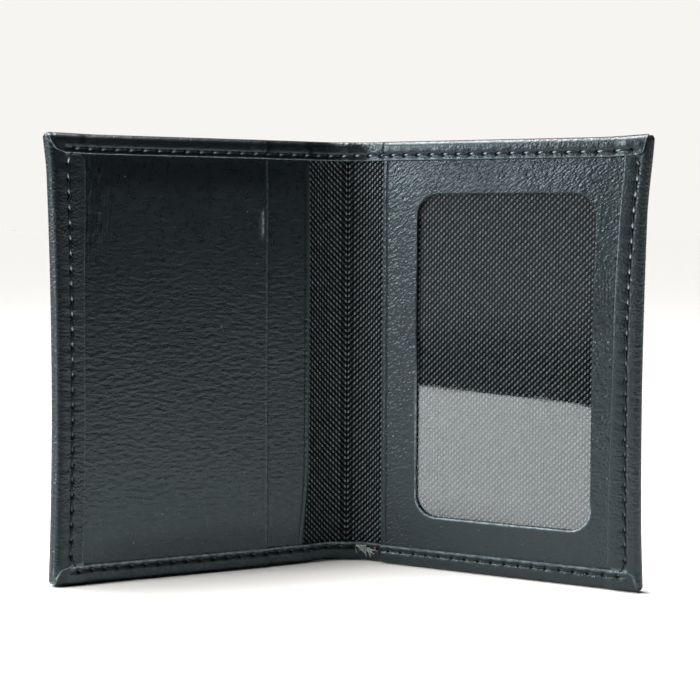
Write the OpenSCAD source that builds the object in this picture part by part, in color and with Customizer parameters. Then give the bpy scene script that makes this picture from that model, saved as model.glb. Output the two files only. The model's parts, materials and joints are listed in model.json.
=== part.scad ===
// Bifold card wallet with an ID window, standing open on its bottom edge.
// Units are millimetres. +Z is up. The inside of the wallet faces -Y and the spine is at +Y.
// The origin is the centre of the footprint, on the surface that the wallet stands on.
//
// Each panel is drawn flat in its own frame and then swung about its fold line:
//   x runs from the fold line to the panel's outer edge,
//   y runs through the thickness, 0 at the lining's inner face and positive towards the outside,
//   z runs up the wallet.

/* [Overall] */
// Height of the wallet along the fold
wallet_h = 102; // [84:1:124]
// Width of one panel from its fold line to its outer edge
panel_w = 71; // [58:1:86]
// Width of the spine strip between the two fold lines
spine_w = 8; // [6.6:0.1:12]
// Angle of each panel out of the spine's plane as the wallet stands, in degrees
rest_angle = 27; // [22:1:60]

/* [Layers] */
// Thickness of the outer leather
cover_t = 1.0; // [0.8:0.1:1.4]
// Thickness of the turned-in hem, which is skived thinner than the cover
hem_t = 0.6; // [0.4:0.1:0.8]
// Thickness of the stiffening board between cover and lining
board_t = 0.4; // [0.2:0.1:0.8]
// Thickness of the woven lining
lining_t = 0.3; // [0.2:0.05:0.5]
// Thickness of the leather that the pockets and the window frame are cut from
pocket_t = 0.7; // [0.5:0.1:0.9]
// Thickness of the clear window film
film_t = 0.25; // [0.15:0.05:0.4]
// Space kept open for one card in each pocket
card_gap = 0.9; // [0.8:0.05:1.1]

/* [Hem] */
// Width of the hem along the two outer side edges
hem_side_w = 7.2; // [6:0.2:9]
// Width of the hem along the top and bottom edges
hem_long_w = 4.5; // [4.2:0.1:6]

/* [Pockets] */
// Distance from the fold line to the mouth of the rear card pocket
rear_mouth = 6.2; // [4:0.2:8]
// How far the front card pocket's mouth is set back from the rear one's
mouth_step = 11.4; // [8:0.2:14]
// Distance from the fold line to the mouth of the ID pocket
frame_mouth = 5.6; // [4:0.2:8]
// Width over which a pocket's leather rises from its stitched border
pocket_slope = 5; // [4:0.5:6]

/* [Window] */
// Leather between the ID pocket's mouth and the window
window_from_mouth = 9.2; // [7.6:0.2:10.4]
// Leather between the window and the side hem
window_from_hem = 4.9; // [4.9:0.1:7.5]
// Leather between the window and the top and bottom hems
window_from_long = 8; // [6.4:0.2:10]
// Radius of the window's corners
window_r = 5.5; // [2:0.5:8]

/* [Stitching] */
// Distance from the outer edge to the stitch line on the side edges
stitch_side_in = 4.0; // [3:0.1:5]
// Distance from the outer edge to the stitch line on the top and bottom edges
stitch_long_in = 3.4; // [2.8:0.1:3.8]
// Distance from one needle hole to the next
stitch_pitch = 3.35; // [2.5:0.05:4]
// Diameter of the thread
thread_d = 0.45; // [0.3:0.05:0.6]

/* [Hidden] */

cut = 1;                 // how far a cutting shape runs past what it cuts
lay_gap = 0.02;          // clearance between a thread and the leather it lies on
fold_gap = 0.15;         // from a fold line to the end of the cover and lining beside it
fold_clear = 0.3;        // what the hems keep between them when the wallet is closed
layer_gap = 0.3;         // from the hem's edge to the foot of a pocket's slope
board_gap = 0.5;         // round the board, inside the turned edge
board_back = 4;          // from the end of the cover at a fold line to the board, clear of the bend
stitch_gap = 0.5;        // space between one stitch and the next
tail_length = 1.8;       // trimmed end of the thread
tail_gap = 0.15;         // between the tails and the stitches beside them
thread_fn = 24;          // sides of a thread in the drawing
window_fn = 64;          // sides of a full circle at the window's corners

back_t = lining_t + board_t + cover_t;             // from the lining's face to the cover's face
front_mouth = rear_mouth + mouth_step;
card_border = 2 * pocket_t;                        // leather under the hem beside both card pockets
id_border = film_t + pocket_t;                     // film and leather under the hem beside the window
rear_lift = card_gap;
front_lift = card_gap + card_gap;                  // over the rear pocket's own lift
hem_back = hem_t + fold_clear;                     // hem cut back at a fold line, so that it can close
thread_back = hem_t + 2 * thread_d + fold_gap;     // first stitch beside a fold line

// The footprint's front and back, measured from the fold lines.
foot_back = back_t + thread_d + lay_gap;
foot_front = panel_w * sin(rest_angle) + (card_border + hem_t) * cos(rest_angle);
centre_y = (foot_front - foot_back) / 2;

// ---- placing -------------------------------------------------------------

module on_spine() {
    translate([0, centre_y, 0]) children();
}

module on_right() {
    on_spine() translate([spine_w / 2, 0, 0]) rotate([0, 0, -rest_angle]) children();
}

module on_left() {
    mirror([1, 0, 0]) on_right() children();
}

// A box between two x, two y and two z values.
module block(x, y, z) {
    translate([x[0], y[0], z[0]]) cube([x[1] - x[0], y[1] - y[0], z[1] - z[0]]);
}

// The same block at the top and bottom edges of the wallet; d is its reach in from the edge.
module both_long_edges(x, y, d) {
    block(x, y, d);
    block(x, y, [wallet_h - d[1], wallet_h - d[0]]);
}

// ---- cover ---------------------------------------------------------------

// Turned edge and hem along the top and bottom, over a stack of the given thickness.
module long_hem(x, stack) {
    both_long_edges(x, [-stack - hem_t, back_t], [0, cover_t]);
    both_long_edges(x, [-stack - hem_t, -stack], [0, hem_long_w]);
}

// One panel of the cover. steps lists [from, to, stack] along the panel.
module cover_panel(steps, side_stack) {
    union() {
        block([fold_gap, panel_w], [back_t - cover_t, back_t], [0, wallet_h]);
        for (s = steps) long_hem([s[0], s[1]], s[2]);
        block([panel_w - cover_t, panel_w], [-side_stack - hem_t, back_t], [0, wallet_h]);
        block([panel_w - hem_side_w, panel_w], [-side_stack - hem_t, -side_stack], [0, wallet_h]);
    }
}

module cover_left() {
    steps = [
        [hem_back, rear_mouth, 0],
        [rear_mouth, front_mouth, pocket_t],
        [front_mouth, panel_w, card_border]
    ];
    color([0.09, 0.10, 0.11]) on_left() cover_panel(steps, card_border);
}

module cover_right() {
    steps = [[hem_back, frame_mouth, 0], [frame_mouth, panel_w, id_border]];
    color([0.09, 0.10, 0.11]) on_right() cover_panel(steps, id_border);
}

module cover_spine() {
    plate_x = spine_w / 2 - fold_gap;
    hem_x = spine_w / 2 - hem_back;
    color([0.09, 0.10, 0.11]) on_spine() union() {
        block([-plate_x, plate_x], [back_t - cover_t, back_t], [0, wallet_h]);
        long_hem([-hem_x, hem_x], 0);
    }
}

// ---- lining and boards ---------------------------------------------------

module lining_panel() {
    block([fold_gap, panel_w - cover_t], [0, lining_t], [cover_t, wallet_h - cover_t]);
}

module lining_left() {
    color([0.12, 0.13, 0.14]) on_left() lining_panel();
}

module lining_right() {
    color([0.12, 0.13, 0.14]) on_right() lining_panel();
}

// With no board at the spine, the lining lies straight on the cover.
module lining_spine() {
    x = spine_w / 2 - fold_gap;
    y = back_t - cover_t;
    color([0.12, 0.13, 0.14]) on_spine()
        block([-x, x], [y - lining_t, y], [cover_t, wallet_h - cover_t]);
}

module board_panel() {
    edge = cover_t + board_gap;
    block([fold_gap + board_back, panel_w - edge], [lining_t, lining_t + board_t], [edge, wallet_h - edge]);
}

module board_left() {
    color([0.62, 0.55, 0.42]) on_left() board_panel();
}

module board_right() {
    color([0.62, 0.55, 0.42]) on_right() board_panel();
}

// ---- pockets -------------------------------------------------------------

// Low, wide wedge over the area inside the hems: level y0 at its foot and y1 on top.
// Its side towards the mouth is upright, at x0, so that the pocket stays open there.
module rise(x0, y0, y1) {
    foot_x = panel_w - hem_side_w - layer_gap;
    foot_z = hem_long_w + layer_gap;
    top_x = foot_x - pocket_slope;
    top_z = foot_z + pocket_slope;
    polyhedron(
        points = [
            [x0, -y0, foot_z], [foot_x, -y0, foot_z],
            [foot_x, -y0, wallet_h - foot_z], [x0, -y0, wallet_h - foot_z],
            [x0, -y1, top_z], [top_x, -y1, top_z],
            [top_x, -y1, wallet_h - top_z], [x0, -y1, wallet_h - top_z]
        ],
        faces = [[0, 1, 2, 3], [7, 6, 5, 4], [0, 4, 5, 1], [1, 5, 6, 2], [2, 6, 7, 3], [3, 7, 4, 0]]
    );
}

// A sheet stitched down on three sides at level base and lifted inside them.
module pocket_sheet(mouth, base, t, lift) {
    foot_x = panel_w - hem_side_w - layer_gap;
    foot_z = hem_long_w + layer_gap;
    difference() {
        union() {
            block([mouth, panel_w - cover_t], [-base - t, -base], [cover_t, wallet_h - cover_t]);
            rise(mouth, base + t, base + t + lift);
        }
        rise(mouth - cut, base, base + lift);
        block([mouth - cut, foot_x], [-base, cut - base], [foot_z, wallet_h - foot_z]);
    }
}

module rear_card_pocket() {
    color([0.10, 0.11, 0.12]) on_left() pocket_sheet(rear_mouth, 0, pocket_t, rear_lift);
}

module front_card_pocket() {
    color([0.10, 0.11, 0.12]) on_left() pocket_sheet(front_mouth, pocket_t, pocket_t, front_lift);
}

module id_window_film() {
    color([0.85, 0.9, 0.92, 0.35]) on_right() pocket_sheet(frame_mouth, 0, film_t, rear_lift);
}

module rounded_slot(x, z, r, y) {
    for (cx = [x[0] + r, x[1] - r], cz = [z[0] + r, z[1] - r])
        translate([cx, y[0], cz]) rotate([-90, 0, 0]) cylinder(h = y[1] - y[0], r = r, $fn = window_fn);
    block([x[0] + r, x[1] - r], y, z);
    block(x, y, [z[0] + r, z[1] - r]);
}

module id_window_frame() {
    x = [frame_mouth + window_from_mouth, panel_w - hem_side_w - window_from_hem];
    z = [hem_long_w + window_from_long, wallet_h - hem_long_w - window_from_long];
    front = id_border + card_gap;
    color([0.10, 0.11, 0.12]) on_right() difference() {
        pocket_sheet(frame_mouth, film_t, pocket_t, rear_lift);
        rounded_slot(x, z, window_r, [-front - cut, cut]);
    }
}

// ---- stitching -----------------------------------------------------------

// One stitch from a to b along x or z, as a length of thread lying at level y.
module stitch(a, b, y) {
    d = b - a;
    translate([a[0], y, a[1]])
        rotate([0, d[0] > d[1] ? 90 : 0, 0])
            cylinder(h = max(d[0], d[1]), d = thread_d, $fn = thread_fn);
}

// A row of stitches from x0 to x1 at height z.
module row_x(x0, x1, z, y) {
    n = max(1, floor((x1 - x0) / stitch_pitch));
    pitch = (x1 - x0) / n;
    for (i = [0 : n - 1])
        stitch([x0 + i * pitch + stitch_gap / 2, z], [x0 + (i + 1) * pitch - stitch_gap / 2, z], y);
}

// A row of stitches up the side edge.
module row_z(x, z0, z1, y) {
    n = max(1, floor((z1 - z0) / stitch_pitch));
    pitch = (z1 - z0) / n;
    for (i = [0 : n - 1])
        stitch([x, z0 + i * pitch + stitch_gap / 2], [x, z0 + (i + 1) * pitch - stitch_gap / 2], y);
}

function face_y(stack) = -stack - hem_t - lay_gap - thread_d / 2;
outer_y = back_t + lay_gap + thread_d / 2;

// Rows at the top and bottom edges.
module long_rows(x0, x1, y) {
    for (z = [stitch_long_in, wallet_h - stitch_long_in]) row_x(x0, x1, z, y);
}

// Needle thread, on the inside: it steps with the stack that the hem lies on.
module needle_panel(steps, side_stack) {
    for (s = steps) long_rows(s[0], s[1], face_y(s[2]));
    row_z(panel_w - stitch_side_in, stitch_long_in, wallet_h - stitch_long_in, face_y(side_stack));
}

// Bobbin thread, on the outer face.
module bobbin_panel() {
    long_rows(thread_back, panel_w - stitch_side_in, outer_y);
    row_z(panel_w - stitch_side_in, stitch_long_in, wallet_h - stitch_long_in, outer_y);
}

module needle_thread_left() {
    side_x = panel_w - stitch_side_in;
    steps = [
        [thread_back, rear_mouth, 0],
        [rear_mouth, front_mouth, pocket_t],
        [front_mouth, side_x, card_border]
    ];
    color([0.05, 0.06, 0.07]) on_left() needle_panel(steps, card_border);
}

module needle_thread_right() {
    side_x = panel_w - stitch_side_in;
    steps = [[thread_back, frame_mouth, 0], [frame_mouth, side_x, id_border]];
    color([0.05, 0.06, 0.07]) on_right() needle_panel(steps, id_border);
}

module needle_thread_spine() {
    x = spine_w / 2 - thread_back;
    color([0.05, 0.06, 0.07]) on_spine() long_rows(-x, x, face_y(0));
}

module bobbin_thread_left() {
    color([0.05, 0.06, 0.07]) on_left() bobbin_panel();
}

module bobbin_thread_right() {
    color([0.05, 0.06, 0.07]) on_right() bobbin_panel();
}

module bobbin_thread_spine() {
    x = spine_w / 2 - thread_back;
    color([0.05, 0.06, 0.07]) on_spine() long_rows(-x, x, outer_y);
}

// The two trimmed ends where the stitching starts and finishes, beside the row on the spine's bottom hem.
module thread_tails() {
    color([0.30, 0.32, 0.33]) on_spine()
        for (i = [1, 2]) {
            z = stitch_long_in - i * (thread_d + tail_gap);
            stitch([0, z], [tail_length, z], face_y(0));
        }
}

cover_spine();
cover_left();
cover_right();
lining_spine();
lining_left();
lining_right();
board_left();
board_right();
rear_card_pocket();
front_card_pocket();
id_window_film();
id_window_frame();
needle_thread_spine();
needle_thread_left();
needle_thread_right();
bobbin_thread_spine();
bobbin_thread_left();
bobbin_thread_right();
thread_tails();
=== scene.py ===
import json
import math

import bpy
import numpy as np
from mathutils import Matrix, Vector


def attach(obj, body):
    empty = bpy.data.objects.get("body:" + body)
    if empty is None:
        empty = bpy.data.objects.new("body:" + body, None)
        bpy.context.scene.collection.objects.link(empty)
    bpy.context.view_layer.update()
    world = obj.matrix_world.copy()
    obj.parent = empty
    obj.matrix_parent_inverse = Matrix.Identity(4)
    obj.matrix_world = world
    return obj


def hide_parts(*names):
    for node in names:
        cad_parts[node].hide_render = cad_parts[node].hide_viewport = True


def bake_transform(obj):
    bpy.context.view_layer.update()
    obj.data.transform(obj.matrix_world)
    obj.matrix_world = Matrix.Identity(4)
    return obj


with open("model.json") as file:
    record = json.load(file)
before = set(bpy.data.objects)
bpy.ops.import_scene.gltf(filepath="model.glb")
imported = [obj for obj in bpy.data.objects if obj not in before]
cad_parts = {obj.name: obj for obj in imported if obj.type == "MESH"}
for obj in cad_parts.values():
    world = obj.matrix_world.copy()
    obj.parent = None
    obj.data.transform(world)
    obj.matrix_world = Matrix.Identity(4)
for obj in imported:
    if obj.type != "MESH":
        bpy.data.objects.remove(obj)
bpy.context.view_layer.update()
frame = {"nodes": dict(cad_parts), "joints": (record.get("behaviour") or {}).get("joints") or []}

# The wallet is drawn flat and then bent. Flat coordinates are in millimetres:
#   x from the middle of the spine out along a panel, the same for both panels,
#   d through the thickness, 0 at the lining's inner face and positive towards the outside,
#   z up the wallet.
# side is -1 for the left half and 1 for the right half.
MM = 0.001

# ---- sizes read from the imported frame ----

JOINTS = {j["name"]: j for j in frame["joints"]}
FOLD_X = JOINTS["right_fold"]["pos_m"][0] / MM
FOLD_Y = JOINTS["right_fold"]["pos_m"][1] / MM
REST = math.radians(-JOINTS["right_fold"]["range_deg"][0])
BEND = 2 * FOLD_X               # each half bends from the middle of the spine to here


def flat_points(node, side, turned=True):
    """The CAD node's corners in flat coordinates."""
    co = np.array([v.co for v in frame["nodes"][node].data.vertices]) / MM
    x, d = side * co[:, 0] - FOLD_X, co[:, 1] - FOLD_Y
    a = REST if turned else 0.0
    along = x * math.cos(a) - d * math.sin(a) + FOLD_X
    through = x * math.sin(a) + d * math.cos(a)
    return np.round(np.stack([along, through, co[:, 2]], 1), 4)


COVER = {-1: flat_points("cover_left", -1), 1: flat_points("cover_right", 1)}
SPINE = flat_points("cover_spine", 1, turned=False)
THREADS = flat_points("needle_thread_right", 1)
HEIGHT = COVER[1][:, 2].max()
HALF = COVER[1][:, 0].max()     # from the middle of the spine to a side edge
BACK = COVER[1][:, 1].max()     # outer face of the cover
COVER_T = 1.0
HEM_T = -SPINE[:, 1].min()
STACK = {s: -COVER[s][:, 1].min() - HEM_T for s in (-1, 1)}     # thickness under the side hem
POCKET_T = STACK[-1] / 2
FILM_T = STACK[1] - POCKET_T
face = COVER[1][COVER[1][:, 1] < COVER[1][:, 1].min() + 0.01]
HEM_LONG = np.unique(face[:, 2])[1]
HEM_SIDE = HALF - np.unique(face[:, 0])[-2]
THREAD_D = 0.42                 # as drawn here, a little under the CAD model's
CAD_THREAD_R = 0.225
STITCH_LONG = THREADS[:, 2].min() + CAD_THREAD_R
STITCH_SIDE = HALF - THREADS[:, 0].max() + CAD_THREAD_R
MOUTH = {
    "rear": flat_points("rear_card_pocket", -1)[:, 0].min(),
    "front": flat_points("front_card_pocket", -1)[:, 0].min(),
    "frame": flat_points("id_window_frame", 1)[:, 0].min(),
}
PITCH = 3.35                    # between needle holes
LINING_T = 0.3

# Leather round the window: to the pocket's mouth, the side hem and the long hems; and its corners.
WINDOW_FROM_MOUTH, WINDOW_FROM_HEM, WINDOW_FROM_LONG, WINDOW_R = 9.2, 4.9, 8.0, 5.2


def smooth(t):
    """0 up to t = 0, 1 from t = 1, and an easy curve between."""
    t = np.clip(t, 0, 1)
    return t * t * (3 - 2 * t)


def band(away, width):
    """1 on a line, falling off with the distance from it."""
    return np.exp(-((away / width) ** 2))


# ---- bending ----

def bend(flat, side):
    """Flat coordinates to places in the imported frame, in metres, at rest."""
    x, d, z = flat[:, 0], flat[:, 1], flat[:, 2]
    along = x.copy()
    for _ in range(40):
        w = smooth(along / BEND)
        a = w * REST
        along = FOLD_X + (x - FOLD_X) * np.cos(a) + d * np.sin(a)
    out = FOLD_Y - (x - FOLD_X) * np.sin(a) + d * np.cos(a)
    return np.stack([side * along, out, z], 1) * MM


def follow(obj):
    """The half, bent between the spine and its panel at rest, has its placement baked into its mesh."""
    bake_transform(obj)


# ---- meshes ----

WELD = 0.0005                   # corners closer than this become one
SHARP = math.radians(50)


class Shape:
    """Collects faces in flat coordinates and welds the corners that meet."""

    def __init__(self):
        self.points, self.faces, self.count = [], [], 0

    def add(self, points, faces):
        points = np.asarray(points, float).reshape(-1, 3)
        self.points.append(points)
        self.faces += [[i + self.count for i in f] for f in faces]
        self.count += len(points)

    def grid(self, p, flip=False):
        """Quads over an (n, m, 3) array."""
        n, m = p.shape[:2]
        quads = []
        for i in range(n - 1):
            for j in range(m - 1):
                q = [i * m + j, (i + 1) * m + j, (i + 1) * m + j + 1, i * m + j + 1]
                quads.append(q[::-1] if flip else q)
        self.add(p, quads)

    def join(self, a, b, flip=False):
        """A strip of quads between two lines of points."""
        self.grid(np.stack([a, b], 1), flip)

    def build(self, name, side, material, marks=None):
        """The bent object. marks: functions of the flat points, stored for the materials."""
        points = np.concatenate(self.points)
        key = np.round(points / WELD).astype(np.int64)
        _, first, same = np.unique(key, axis=0, return_index=True, return_inverse=True)
        same = same.reshape(-1)
        faces = []
        for f in self.faces:
            g = [int(same[i]) for i in f]
            g = [v for k, v in enumerate(g) if v != g[k - 1]]
            if len(set(g)) == len(g) > 2:
                faces.append(g if side > 0 else g[::-1])
        flat = points[first]
        mesh = bpy.data.meshes.new(name)
        mesh.from_pydata(bend(flat, side).tolist(), [], faces)
        mesh.validate()
        where = mesh.attributes.new("flat", "FLOAT_VECTOR", "POINT")
        stored = np.stack([side * flat[:, 0], flat[:, 2], flat[:, 1]], 1)
        where.data.foreach_set("vector", stored.astype(np.float32).ravel())
        for mark, amount in (marks or {}).items():
            values = np.clip(amount(flat), -1, 1).astype(np.float32)
            mesh.attributes.new(mark, "FLOAT", "POINT").data.foreach_set("value", values)
        mesh.shade_smooth()
        mesh.set_sharp_from_angle(angle=SHARP)
        mesh.materials.append(material)
        obj = bpy.data.objects.new(name, mesh)
        bpy.context.scene.collection.objects.link(obj)
        return obj


def sheet_solid(shape, top, bottom):
    """A closed sheet between two (n, m, 3) grids with the same outline."""
    shape.grid(top)
    shape.grid(bottom, flip=True)
    shape.join(top[0], bottom[0], flip=True)
    shape.join(top[-1], bottom[-1])
    shape.join(top[:, 0], bottom[:, 0])
    shape.join(top[:, -1], bottom[:, -1], flip=True)


def wave(x, z, seed):
    """A smooth, repeatable unevenness between about -1 and 1, tens of millimetres long."""
    return (
        np.sin(x * 0.071 + z * 0.043 + seed) + np.sin(z * 0.097 - x * 0.029 + 2.1 * seed)
        + 0.6 * np.sin(x * 0.19 + 0.7 * seed) * np.sin(z * 0.16 + 1.3 * seed)
    ) / 2.6


# ---- needle holes ----

LAST_X = HALF - STITCH_SIDE
ROWS = round(LAST_X / PITCH)
PITCH_X = LAST_X / ROWS
RISE = HEIGHT - 2 * STITCH_LONG
COLS = round(RISE / PITCH)
PITCH_Z = RISE / COLS
HOLES_X = [(k + 0.5) * PITCH_X for k in range(ROWS)]
HOLES_Z = [STITCH_LONG + k * PITCH_Z for k in range(COLS + 1)]


def along_row(n, pitch, start, end):
    """Sample places along a row, close together at each hole."""
    steps = (-0.19, -0.11, -0.05, 0, 0.05, 0.11, 0.19, 0.34, 0.5)
    at = [start, end]
    for k in range(n):
        at += [(k + 0.5 + s) * pitch for s in steps]
    at = np.unique(np.round([a for a in at if start <= a <= end], 3))
    keep = [at[0]]
    for a in at[1:]:
        if a - keep[-1] > 0.09:
            keep.append(a)
    keep[-1] = end
    return np.array(keep)


def pinch(lie, away):
    """Depth pulled in at a row: lie is the distance to the nearest hole along it, away across it."""
    hole = np.exp(-((lie / 0.34) ** 2 + (away / 0.36) ** 2))
    groove = band(away, 0.45)
    between = smooth((lie - 0.3) / 1.2)
    pucker = band(np.abs(away) - 0.95, 0.42) * (0.25 + 0.75 * between)
    return np.maximum(0.6 * hole, 0.14 * groove) - 0.17 * pucker


def stitch_rows(x, z):
    """For each row: how far its nearest hole is along it, how far it is across, and 1 where it runs."""
    lie = np.abs((x / PITCH_X) % 1 - 0.5) * PITCH_X
    runs = smooth((LAST_X + 0.6 - x) / 0.6)
    yield lie, z - STITCH_LONG, runs
    yield lie, z - (HEIGHT - STITCH_LONG), runs
    lie = np.abs(((z - STITCH_LONG) / PITCH_Z + 0.5) % 1 - 0.5) * PITCH_Z
    yield lie, x - LAST_X, smooth((np.minimum(z, HEIGHT - z) - STITCH_LONG - 1.0) / 1.5)


def pressed(x, z):
    """How far the thread pulls the leather in, at a place on the flat wallet."""
    return sum(pinch(lie, away) * runs for lie, away, runs in stitch_rows(x, z))


def holes(x, z, reach):
    """1 at a needle hole, falling off over reach."""
    return sum(np.exp(-((lie**2 + away**2) / reach**2)) * runs for lie, away, runs in stitch_rows(x, z))


# ---- cover ----

ROLL = 1.5                      # reach of the rounded edge in from the outline
MITRE = 12.0                    # length over which the columns close up towards a corner
CORNER_R = 1.3
FINE = (-0.62, -0.42, -0.26, -0.12, 0, 0.12, 0.26, 0.42, 0.62)
INNER_LONG, INNER_SIDE = 5.4, 8.4       # where the edge band meets the plain middle of the cover
FLAP_RISE = 0.42                # the long hems' ends lie on the side hems
FLAP_LENGTH = 10.5
ROLL_STEPS = 14
COARSE, COARSE_AT_FOLD = 3.3, 0.8       # faces of the plain middle of the cover
LIP_LONG, LIP_SIDE = 0.46, 0.32         # thickness of the hems' raw edges


def stack_at(x, side):
    """What the hems along the top and bottom lie on, at x."""
    step = 1.1
    if side < 0:
        return POCKET_T * (
            smooth((x - MOUTH["rear"] + 0.8) / step) + smooth((x - MOUTH["front"] + 0.8) / step)
        )
    return STACK[1] * smooth((x - MOUTH["frame"] + 0.8) / step)


def inset(z, side):
    """How far a side edge is bowed in between its corners, and pulled out at them."""
    t = 2 * z / HEIGHT - 1
    if side < 0:
        return 0.5 + 1.1 * (1 - t * t) - 0.45 * smooth((z - HEIGHT + 9) / 9)
    return 0.9 * (1 - t * t) - 0.85 * smooth((z - HEIGHT + 18) / 18) - 0.15 * smooth((14 - z) / 14)


def raised(x, z, side):
    """How far the top edge is pulled up towards its corner."""
    lift = {-1: 0.25, 1: 0.5}[side]
    return lift * smooth((x - HALF + 13) / 13) * smooth((z - HEIGHT + 20) / 20)


def shift_in(x, z, side):
    """How far a half's points move in with its side edge. The left row of stitches is moved in a
    little more than the edge, and the right row runs out towards its top corner."""
    row = 0.55 if side < 0 else -0.5 - 0.85 * smooth((z - 60) / 36)
    near_row = smooth((x - 60) / 9) * smooth((HALF - 0.8 - x) / 2.6)
    return inset(z, side) * smooth((x - HALF + 22) / 22) + row * near_row


def bow(p, side):
    """Bends a half's points in or out with its side edge, and up with its top corner."""
    x, z = p[..., 0].copy(), p[..., 2].copy()
    p[..., 0] -= shift_in(x, z, side)
    p[..., 2] += raised(x, z, side)
    return p


def straight(p, side):
    """x and z as they were before bow."""
    x, z = p[:, 0], p[:, 2]
    for _ in range(4):
        x, z = p[:, 0] + shift_in(x, z, side), p[:, 2] - raised(x, z, side)
    return x, z


def hem_profile():
    """Points from the outer face round the edge to the hem, and back under it. Each is how far in it
    is on a long edge and on a side edge, what kind of point it is, and how far the roll has turned."""
    rows = [(INNER_LONG, INNER_SIDE, "outer", 0), (4.6, 6.2, "outer", 0)]
    rows += [(STITCH_LONG - f, STITCH_SIDE - f, "outer", 0) for f in FINE]
    rows += [(2.3, 2.8, "outer", 0)]
    for k in range(ROLL_STEPS + 1):
        t = math.pi * k / ROLL_STEPS
        reach = ROLL * (1 - math.sin(t) ** 1.1) if 0 < k < ROLL_STEPS else ROLL
        rows.append((reach, reach, "roll", t))
    rows += [(2.0, 2.1, "hem", 0), (2.45, 2.9, "hem", 0)]
    rows += [(STITCH_LONG + f, STITCH_SIDE + f, "hem", 0) for f in FINE]
    rows += [(HEM_LONG - 0.28, HEM_SIDE - 0.4, "hem", 0), (HEM_LONG - 0.10, HEM_SIDE - 0.12, "hem", 0)]
    rows += [(HEM_LONG, HEM_SIDE, "lip", 0), (HEM_LONG, HEM_SIDE, "foot", 0)]
    rows += [(COVER_T, COVER_T, "foot", 0), (COVER_T, COVER_T, "inside", 0)]
    rows += [(INNER_LONG, INNER_SIDE, "inside", 0)]
    return rows


def hem_depth(x, z, level, kind, turn, lip=0.0):
    """Depth of a cover point. level: what the hem lies on; lip: the thickness of its raw edge."""
    front = -(level + HEM_T)
    if kind == "outer":
        return BACK - pressed(x, z)
    if kind == "roll":
        c = math.cos(turn)
        return (BACK + front) / 2 + (BACK - front) / 2 * c
    if kind == "hem":
        return front + pressed(x, z)
    if kind == "lip":
        return -(level + lip)
    if kind == "foot":
        return 0.02 - level
    return np.full_like(x, BACK - COVER_T)


def corner(near):
    """How far the outline moves along itself and in, at a distance from a corner, to round it."""
    reach = CORNER_R * math.pi / 4
    turn = np.clip(1 - near / reach, 0, 1) * math.pi / 4
    along = np.where(turn > 0, near - (CORNER_R - CORNER_R * np.sin(turn)), 0)
    return along, CORNER_R * (1 - np.cos(turn))


def long_columns(x0, side, profile):
    """Edge columns at x0 along the bottom edge."""
    cols = np.zeros((len(x0), len(profile), 3))
    squeeze = np.clip((x0 - (HALF - MITRE)) / MITRE, 0, 1)
    along, round_in = corner(HALF - x0)
    for j, (long_in, side_in, kind, turn) in enumerate(profile):
        fade = max(0.0, 1 - long_in / 4)
        x = x0 - squeeze * side_in + along * fade
        z = long_in + round_in * fade
        depth = hem_depth(x, z, stack_at(x, side), kind, turn, LIP_LONG)
        cols[:, j] = np.stack([x, depth, z], 1)
    return cols


def hem_lean(z, side):
    """The side hem isn't quite the same width all the way up."""
    if side < 0:
        return 1.1 * smooth((z - 60) / 40) - 0.3 * smooth((20 - z) / 20)
    return 0.95 - 1.05 * smooth(z / 60)


def side_columns(z0, side, profile):
    """Edge columns at z0 up the side edge."""
    cols = np.zeros((len(z0), len(profile), 3))
    near = np.minimum(z0, HEIGHT - z0)
    inwards = np.sign(HEIGHT / 2 - z0)
    squeeze = np.clip(1 - near / MITRE, 0, 1)
    along, round_in = corner(near)
    for j, (long_in, side_in, kind, turn) in enumerate(profile):
        fade = max(0.0, 1 - long_in / 4)
        z = z0 + inwards * (squeeze * long_in - along * fade)
        x = HALF - side_in - round_in * fade
        if kind in ("hem", "lip", "foot") and side_in > HEM_SIDE - 0.5:
            x = x - hem_lean(z, side) * smooth(near / 2.5)
        level = np.full_like(z, STACK[side])
        cols[:, j] = np.stack([x, hem_depth(x, z, level, kind, turn, LIP_SIDE), z], 1)
    return cols


def upside_down(p):
    """The bottom edge's points, mirrored for the top edge."""
    q = p.copy()
    q[..., 2] = HEIGHT - q[..., 2]
    return q


def patch(shape, bottom, side_rim, top, flip):
    """Fills the plain middle between three finely divided rims with coarse faces."""
    def coarse(values, steps):
        """Which of a rim's points the coarse faces take their corners from."""
        pick = [0]
        for i in range(1, len(values) - 1):
            if values[i] - values[pick[-1]] >= steps(values[i]):
                pick.append(i)
        return pick + [len(values) - 1]

    cx = coarse(bottom[:, 0], lambda x: COARSE_AT_FOLD if x < 10 else COARSE)
    cz = coarse(side_rim[:, 2], lambda z: COARSE)
    n, m = len(cx) - 1, len(cz) - 1

    def at(i, j):
        if j == 0:
            return bottom[cx[i]]
        if j == m:
            return top[cx[i]]
        if i == n:
            return side_rim[cz[j]]
        return np.array([bottom[cx[i]][0], bottom[0][1], side_rim[cz[j]][2]])

    for i in range(n):
        for j in range(m):
            low = bottom[cx[i]:cx[i + 1] + 1] if j == 0 else [at(i, j), at(i + 1, j)]
            high = top[cx[i]:cx[i + 1] + 1] if j == m - 1 else [at(i, j + 1), at(i + 1, j + 1)]
            right = side_rim[cz[j]:cz[j + 1] + 1][1:-1] if i == n - 1 else []
            ring = [*low, *right, *high[::-1]]
            order = list(range(len(ring)))
            shape.add(ring, [order[::-1] if flip else order])
    return [at(0, j) for j in range(m + 1)]


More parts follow.
